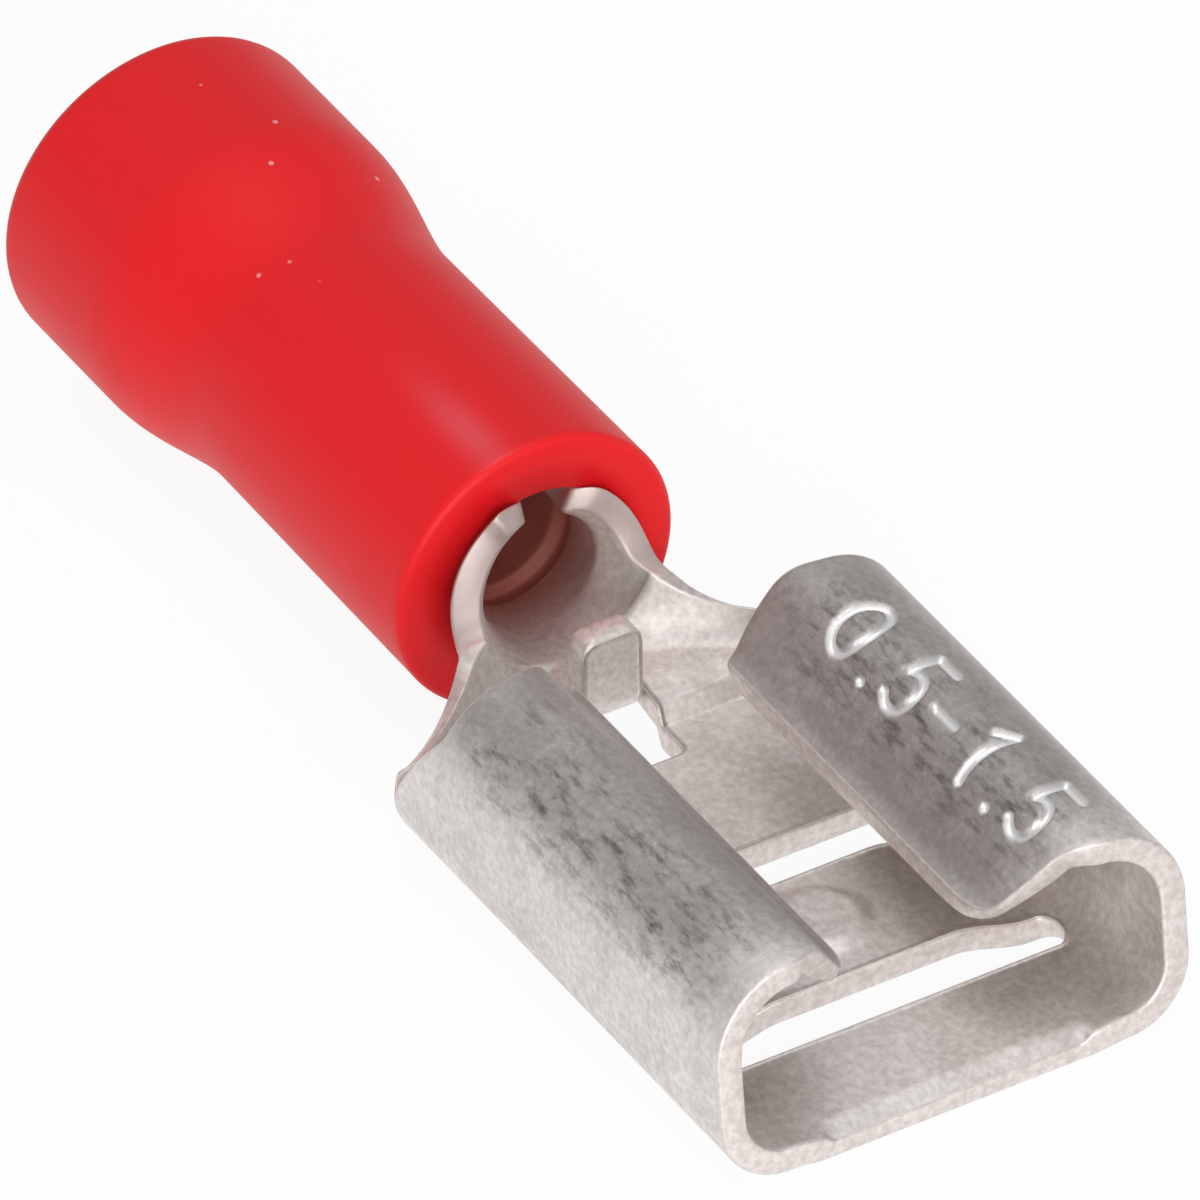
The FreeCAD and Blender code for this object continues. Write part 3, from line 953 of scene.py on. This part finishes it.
@dataclass
class Sleeve:
    """The insulating sleeve: a profile turned about the barrel's axis, in millimetres."""

    axis_height: float = 0.55
    front: float = 11.0
    rear: float = 21.2
    front_radius: float = 2.2
    waist_radius: float = 2.16
    rear_radius: float = 2.53
    waist: float = 16.4
    shoulder: float = 18.8
    bore_radius: float = 1.37
    entry_radius: float = 1.9
    barrel_end: float = 17.3
    funnel_end: float = 18.2
    shoulder_radius: float = 1.17
    front_round: float = 0.12
    rim_round: float = 0.25
    # Where the painted highlight on top near the front lies, how wide it is and how strong.
    sheen_station: float = 11.8
    sheen_length: float = 1.2
    sheen_angle: float = -15.0
    rub_and_sheen_width: float = 0.12
    sheen_amount: float = 0.5
    sheen_clear: float = 0.1
    profile_points: int = 70
    rim_points: int = 8
    turn_points: int = 160

    def profile(self) -> np.ndarray:
        """Trace the closed profile: quarter circles at the rims and a smooth step at the cone.

        Returns:
            Points (station, radius).
        """
        quarter = np.linspace(0, math.pi / 2, self.rim_points)
        front = np.stack([self.front + self.front_round * (1 - np.sin(quarter)),
                          self.front_radius - self.front_round * (1 - np.cos(quarter))], axis=1)[::-1]
        body = np.linspace(self.front + self.front_round, self.rear - self.rim_round,
                           self.profile_points)[1:-1]
        slope = (self.waist_radius - self.front_radius) / (self.waist - self.front)
        straight = self.front_radius + slope * (np.minimum(body, self.waist) - self.front)
        cone = (self.rear_radius - self.waist_radius) * smooth_step(body, self.waist, self.shoulder)
        outside = np.stack([body, straight + cone], axis=1)
        rim = np.stack([self.rear - self.rim_round * (1 - np.sin(quarter)),
                        self.rear_radius - self.rim_round * (1 - np.cos(quarter))], axis=1)
        inside = np.array([(self.rear, self.entry_radius), (self.funnel_end, self.entry_radius),
                           (self.barrel_end, self.shoulder_radius), (self.barrel_end, self.bore_radius),
                           (self.front, self.bore_radius)])
        return np.vstack([front, outside, rim, inside])

    def build(self, material: bpy.types.Material) -> bpy.types.Object:
        """Turn the profile about the barrel's axis.

        With the turn a and the radius r a point has x = -station, y = r sin a and
        z = the axis's height + r cos a. The strip of painted highlight is a bell curve
        both along the sleeve and round it.

        Args:
            material: The finish that it gets.

        Returns:
            The sleeve as one closed mesh.
        """
        profile = self.profile()
        size = self.turn_points
        station, radius = np.repeat(profile, size, axis=0).T
        angle = np.tile(np.linspace(0, TAU, size, endpoint=False), len(profile))
        height = self.axis_height + radius * np.cos(angle)
        points = np.stack([-station, radius * np.sin(angle), height], axis=1)
        rows, columns = np.meshgrid(np.arange(len(profile)), np.arange(size), indexing="ij")
        ahead_row, ahead_column = (rows + 1) % len(profile), (columns + 1) % size
        faces = np.stack([rows * size + columns, rows * size + ahead_column,
                          ahead_row * size + ahead_column, ahead_row * size + columns], axis=-1)
        piece = mesh_object("red_sleeve", points, faces.reshape(-1, 4), material)
        # A painted highlight: a pale streak on top near the front.
        turned = (angle + math.pi) % TAU - math.pi - math.radians(self.sheen_angle)
        outside = ((radius > self.entry_radius + self.sheen_clear)
                   & (station > self.front + self.front_round / 2))
        rub = np.exp(-((station - self.sheen_station) / self.sheen_length) ** 2 - (turned / self.rub_and_sheen_width) ** 2)
        add_attribute(piece, "rubbed", self.sheen_amount * rub * outside)
        return piece


@dataclass(frozen=True)
class TinFinish:
    """Matt tin that was plated on brass strip before the strip was pressed; sizes in millimetres.

    A range holds the two values of a pattern between which it goes from nothing to all.
    """

    open_plating: str = "#f4efec"
    cloud: str = "#d8d1cd"
    # The darker grey is partly duller plating and partly painted shade.
    dull: str = "#b3aca9"
    rub: str = "#787170"
    sheared: str = "#efe7e4"
    torn: str = "#dcd3cf"
    # Painted highlight: the stamped strokes are painted white where their walls catch the light; the punch
    # burnished them too.
    burnished_and_highlight_white: str = "#ffffff"
    # Inside the barrel this brass tone is partly a painted reflection of the red sleeve.
    brass: str = "#dc9e90"
    grain_size: float = 0.12
    grain_share: float = 0.65
    grain_roughness: float = 0.6
    cloud_size: float = 0.9
    cloud_roughness: float = 0.55
    plating_detail: float = 3.0
    plating_range: tuple[float, float] = (0.36, 0.64)
    least_dull_and_shade: float = 0.7
    rub_size: float = 0.16
    rub_stretch: float = 3.2
    rub_detail: float = 4.0
    rub_roughness: float = 0.65
    rub_range: tuple[float, float] = (0.49, 0.71)
    torn_range: tuple[float, float] = (0.38, 0.62)
    roughness: float = 0.58
    struck_roughness: float = 0.42
    grain_height: float = 0.006

    def build(self) -> bpy.types.Material:
        """Build the material.

        Returns:
            The finish of the pressing.
        """
        material = bpy.data.materials.new("matt_tin_plated_on_brass_strip")
        material.use_nodes = True
        tree = material.node_tree
        shader = tree.nodes["Principled BSDF"]
        place = add_node(tree, "ShaderNodeTexCoord").outputs["Object"]
        painted = {name: add_node(tree, "ShaderNodeAttribute", {"attribute_name": name}).outputs["Fac"]
                   for name in LOOKS}
        # Crystals of the plating: the salt-and-pepper grain of matt tin. Real ones measure a few
        # thousandths of a millimetre and are too fine to show, so they are drawn coarser.
        grain = add_node(tree, "ShaderNodeTexNoise", Vector=place, Scale=1 / (self.grain_size * MM),
                         Detail=self.plating_detail, Roughness=self.grain_roughness).outputs["Fac"]
        # Uneven plating and handling: soft grey clouds that keep the flats from looking like plastic.
        cloud = add_node(tree, "ShaderNodeTexNoise", Vector=place, Scale=1 / (self.cloud_size * MM),
                         Detail=self.plating_detail, Roughness=self.cloud_roughness).outputs["Fac"]
        clouds = add_node(tree, "ShaderNodeMath", {"operation": "MULTIPLY"}, input_0=cloud,
                          input_1=1 - self.grain_share).outputs[0]
        grey = add_node(tree, "ShaderNodeMath", {"operation": "MULTIPLY_ADD"}, input_0=grain,
                        input_1=self.grain_share, input_2=clouds).outputs[0]
        low, high = self.plating_range
        shade = add_node(tree, "ShaderNodeMapRange", Value=grey, From_Min=low, From_Max=high).outputs[0]
        # Painted shade: the tops of the curls, which face the dim light above, and some spots inside turn a
        # darker grey; inside it is partly duller plating.
        uneven = add_node(tree, "ShaderNodeMapRange", Value=shade, To_Min=self.least_dull_and_shade,
                          To_Max=1.0).outputs[0]
        dulled = add_node(tree, "ShaderNodeMath", {"operation": "MULTIPLY"}, input_0=uneven,
                          input_1=painted["dulled"]).outputs[0]
        # Marks of the rolling tool: dark drawn-out flecks and short cracks along the curls.
        drawn = add_node(tree, "ShaderNodeMapping", Vector=place, Scale=(1 / self.rub_stretch, 1.0, 1.0))
        fleck = add_node(tree, "ShaderNodeTexNoise", Vector=drawn.outputs[0], Scale=1 / (self.rub_size * MM),
                         Detail=self.rub_detail, Roughness=self.rub_roughness).outputs["Fac"]
        low, high = self.rub_range
        sharp = add_node(tree, "ShaderNodeMapRange", Value=fleck, From_Min=low, From_Max=high).outputs[0]
        rubbed = add_node(tree, "ShaderNodeMath", {"operation": "MULTIPLY"}, input_0=sharp,
                          input_1=painted["rubbed"]).outputs[0]
        # Edges sheared by the press: pale, with the grain torn open.
        low, high = self.torn_range
        whole = add_node(tree, "ShaderNodeMapRange", Value=grain, From_Min=low, From_Max=high).outputs[0]
        edge = add_node(tree, "ShaderNodeMix", {"data_type": "RGBA"}, input_0=whole,
                        input_6=linear(self.torn), input_7=linear(self.sheared)).outputs[2]
        # Last come the inside of the barrel, whose warm tone is partly the brass under thin plating and
        # partly a painted reflection of the red sleeve, and the stamped strokes, which the punch burnished
        # and which are painted white as a highlight where their walls catch the light.
        coats = [(shade, linear(self.cloud)), (dulled, linear(self.dull)), (rubbed, linear(self.rub)),
                 (painted["cut_edge"], edge), (painted["bared"], linear(self.brass)),
                 (painted["stamp"], linear(self.burnished_and_highlight_white))]
        colour = linear(self.open_plating)
        for share, coat in coats:
            colour = add_node(tree, "ShaderNodeMix", {"data_type": "RGBA"}, input_0=share, input_6=colour,
                              input_7=coat).outputs[2]
        tree.links.new(colour, shader.inputs["Base Color"])
        rough = add_node(tree, "ShaderNodeMapRange", Value=painted["stamp"], To_Min=self.roughness,
                         To_Max=self.struck_roughness)
        tree.links.new(rough.outputs[0], shader.inputs["Roughness"])
        bump = add_node(tree, "ShaderNodeBump", Height=grain, Strength=1.0, Distance=self.grain_height * MM)
        tree.links.new(bump.outputs[0], shader.inputs["Normal"])
        shader.inputs["Metallic"].default_value = 1.0
        return material


@dataclass(frozen=True)
class VinylFinish:
    """Soft red PVC as it comes out of a spark-eroded mould; sizes in millimetres."""

    red: str = "#e6171e"
    sheen_red: str = "#e0606a"
    dust: str = "#f0a0a0"
    roughness: float = 0.48
    specular: float = 0.27
    texture_size: float = 0.1
    texture_detail: float = 2.0
    texture_height: float = 0.002
    dust_spacing: float = 1.0
    dust_size: float = 0.05

    def build(self) -> bpy.types.Material:
        """Build the material.

        Returns:
            The finish of the sleeve.
        """
        material = bpy.data.materials.new("moulded_red_pvc")
        material.use_nodes = True
        tree = material.node_tree
        shader = tree.nodes["Principled BSDF"]
        place = add_node(tree, "ShaderNodeTexCoord").outputs["Object"]
        # Grains of dust on the vinyl: a few pale pin-pricks.
        cells = add_node(tree, "ShaderNodeTexVoronoi", Vector=place, Scale=1 / (self.dust_spacing * MM))
        limit = self.dust_size / self.dust_spacing
        speck = add_node(tree, "ShaderNodeMapRange", Value=cells.outputs["Distance"], From_Min=limit,
                         From_Max=limit / 2).outputs[0]
        # A painted highlight: a pale strip on top near the front, in place of the lamp's reflection on the
        # vinyl.
        rubbed = add_node(tree, "ShaderNodeAttribute", {"attribute_name": "rubbed"}).outputs["Fac"]
        colour = linear(self.red)
        for share, coat in ((speck, self.dust), (rubbed, self.sheen_red)):
            colour = add_node(tree, "ShaderNodeMix", {"data_type": "RGBA"}, input_0=share, input_6=colour,
                              input_7=linear(coat)).outputs[2]
        tree.links.new(colour, shader.inputs["Base Color"])
        shader.inputs["Roughness"].default_value = self.roughness
        shader.inputs["Specular IOR Level"].default_value = self.specular
        # The mould's faint texture breaks the highlight into a soft streak.
        texture = add_node(tree, "ShaderNodeTexNoise", Vector=place, Scale=1 / (self.texture_size * MM),
                           Detail=self.texture_detail)
        bump = add_node(tree, "ShaderNodeBump", Height=texture.outputs["Fac"], Strength=1.0,
                        Distance=self.texture_height * MM)
        tree.links.new(bump.outputs[0], shader.inputs["Normal"])
        return material


@dataclass(frozen=True)
class BoardFinish:
    """White paper board, which shows as a bright white ground."""

    white: str = "#fbfbfb"
    glow: str = "#ffffff"
    roughness: float = 0.9
    seen_white: float = 0.92

    def build(self) -> bpy.types.Material:
        """Build the material.

        Returns:
            The finish of the table.
        """
        material = bpy.data.materials.new("white_paper_board")
        material.use_nodes = True
        tree = material.node_tree
        shader = tree.nodes["Principled BSDF"]
        shader.inputs["Base Color"].default_value = linear(self.white)
        shader.inputs["Roughness"].default_value = self.roughness
        # Seen by the camera, in metal or through something clear it is mostly plain white, and
        # otherwise it is lit board.
        ray = add_node(tree, "ShaderNodeLightPath").outputs
        direct = ray["Is Camera Ray"]
        for kind in ("Is Glossy Ray", "Is Transmission Ray"):
            direct = add_node(tree, "ShaderNodeMath", {"operation": "MAXIMUM"}, input_0=direct,
                              input_1=ray[kind]).outputs[0]
        seen = add_node(tree, "ShaderNodeMath", {"operation": "MULTIPLY"}, input_0=direct,
                        input_1=self.seen_white)
        glow = add_node(tree, "ShaderNodeEmission", Color=linear(self.glow), Strength=1.0)
        mix = add_node(tree, "ShaderNodeMixShader", Fac=seen.outputs[0], input_1=shader.outputs[0],
                       input_2=glow.outputs[0])
        tree.links.new(mix.outputs[0], tree.nodes["Material Output"].inputs["Surface"])
        return material


@dataclass(frozen=True)
class SoftBox:
    """A square lamp that faces the origin: its name, its place and side in millimetres, and its watts."""

    name: str
    place: tuple[float, float, float]
    side: float
    power: float

    def build(self) -> None:
        """Hang the lamp in the scene."""
        data = bpy.data.lights.new(self.name, "AREA")
        data.size = self.side * MM
        data.energy = self.power
        lamp = bpy.data.objects.new(self.name, data)
        lamp.location = Vector(self.place) * MM
        lamp.rotation_euler = (-lamp.location).to_track_quat("-Z", "Y").to_euler()
        bpy.context.scene.collection.objects.link(lamp)


@dataclass
class Studio:
    """A white table, soft light and the camera, in millimetres.

    The table touches the mouth's lower edge and the sleeve's shoulder, which are
    the points (x, z) that the terminal rests on. The camera's back and right are
    directions.
    """

    contact_front: tuple[float, float] = (0.0, -1.28)
    contact_rear: tuple[float, float] = (-18.8, -1.98)
    table_half: float = 400.0
    camera_place: tuple[float, float, float] = (263.2, -163.4, 251.9)
    camera_back: tuple[float, float, float] = (0.6733, -0.4037, 0.6194)
    camera_right: tuple[float, float, float] = (0.5188, 0.8548, -0.0069)
    focal_length: float = 892.5
    sensor_width: float = 36.0
    nearest: float = 10.0
    farthest: float = 10000.0
    world_colour: str = "#ffffff"
    world_strength: float = 0.5
    lamps: tuple[SoftBox, ...] = (SoftBox("overhead", (-10, 0, 160), 110, 0.06),
                                  SoftBox("front", (150, -60, 60), 110, 0.2))

    def camera(self) -> None:
        """Place the camera where the photograph was taken from."""
        data = bpy.data.cameras.new("camera")
        data.lens = self.focal_length
        data.sensor_width = self.sensor_width
        data.clip_start, data.clip_end = self.nearest * MM, self.farthest * MM
        camera = bpy.data.objects.new("camera", data)
        bpy.context.scene.collection.objects.link(camera)
        back = Vector(self.camera_back).normalized()
        right = Vector(self.camera_right)
        right = (right - back * right.dot(back)).normalized()
        turn = Matrix((right, back.cross(right), back)).transposed().to_4x4()
        camera.matrix_world = Matrix.Translation(Vector(self.camera_place) * MM) @ turn
        bpy.context.scene.camera = camera

    def table(self, material: bpy.types.Material) -> None:
        """Lay the table under the terminal, at the tilt at which it rests.

        The table is level across, and along X it is the line through both contacts.

        Args:
            material: The finish that it gets.
        """
        (x_front, z_front), (x_rear, z_rear) = self.contact_front, self.contact_rear
        slope = (z_front - z_rear) / (x_front - x_rear)
        x = self.table_half * np.array([-1, 1, 1, -1])
        y = self.table_half * np.array([-1, -1, 1, 1])
        corners = np.stack([x, y, z_front + slope * (x - x_front)], axis=1)
        floor = mesh_object("table", corners, np.array([[0, 1, 2, 3]]), material)

    def light(self) -> None:
        """Light the scene softly from all sides, with one lamp overhead and one in front."""
        world = bpy.data.worlds.new("studio")
        bpy.context.scene.world = world
        world.use_nodes = True
        background = world.node_tree.nodes["Background"]
        background.inputs["Color"].default_value = linear(self.world_colour)
        background.inputs["Strength"].default_value = self.world_strength
        for lamp in self.lamps:
            lamp.build()


def main() -> None:
    """Build the terminal, the sleeve and the studio, and note the sizes."""
    logging.basicConfig(level=logging.INFO, format="%(message)s")
    bpy.context.scene.view_settings.view_transform = "Standard"
    pressing = Pressing().build(TinFinish().build())
    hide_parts("terminal_body")
    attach(pressing, "root")
    LOG.info("terminal: %d faces", len(pressing.data.polygons))
    sleeve = Sleeve().build(VinylFinish().build())
    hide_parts("insulating_sleeve")
    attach(sleeve, "root")
    LOG.info("sleeve: %d faces", len(sleeve.data.polygons))
    studio = Studio()
    studio.camera()
    studio.table(BoardFinish().build())
    studio.light()
    LOG.info("studio: a table, a camera and %d lamps", len(studio.lamps))


if __name__ == "__main__":
    main()
